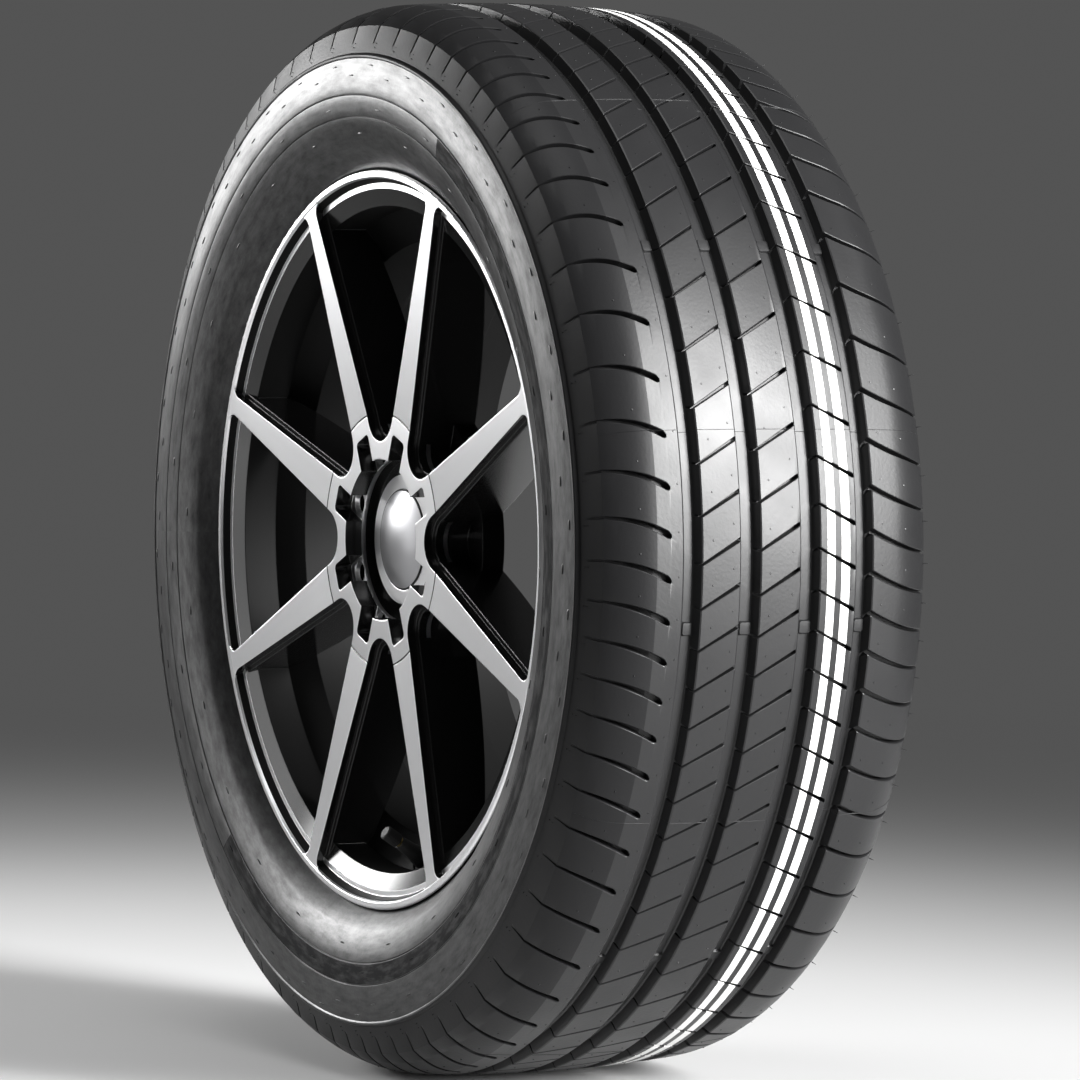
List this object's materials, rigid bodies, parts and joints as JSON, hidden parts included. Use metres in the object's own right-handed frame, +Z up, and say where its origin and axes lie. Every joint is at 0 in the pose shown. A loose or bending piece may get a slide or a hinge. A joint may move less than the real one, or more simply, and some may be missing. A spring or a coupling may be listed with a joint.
{
  "type": "car wheel with tyre",
  "caption": "Road tyre on a cast alloy wheel with straight spokes, machined face, lug pockets, centre cap and snap-in valve; bolts to a car's hub.",
  "frame": {"origin": "the wheel's centre: on the spin axis, in the tyre's middle plane", "axes": "spins about Y; the outboard face looks towards -Y and the hub side towards +Y; Z is up, with the valve at the bottom"},
  "size_m": [0.763, 0.265, 0.763],
  "materials": {
    "tyre": "moulded rubber, satin",
    "alloy": "black paint with a machined face",
    "cap": "silver lacquer",
    "wire": "spring wire",
    "valve_rubber": "matt",
    "brass": "turned",
    "valve_plastic": "matt"
  },
  "bodies": {
    "wheel": {"tyre": "tyre", "alloy_wheel": "alloy", "centre_cap": "cap", "centre_cap_spring_ring": "wire", "valve_body": "valve_rubber", "valve_stem": "brass", "valve_core": "brass", "valve_core_spring": "wire"},
    "dust_cap": {"valve_cap": "valve_plastic", "valve_cap_gasket": "valve_rubber"},
    "valve_pin": {"valve_core_pin": "brass", "valve_core_seal": "valve_rubber"}
  },
  "joints": [
    {"name": "dust_cap_off", "type": "slide", "parent": "wheel", "child": "dust_cap", "axis": [0, -0.8274, 0.5616], "range_m": [0, 0.014]},
    {"name": "valve_pin_press", "type": "slide", "parent": "wheel", "child": "valve_pin", "axis": [0, 0.8274, -0.5616], "range_m": [0, 0.0015], "stiffness_N_per_m": 400, "springref_m": -0.004, "deforming": ["valve_core_spring"]}
  ]
}
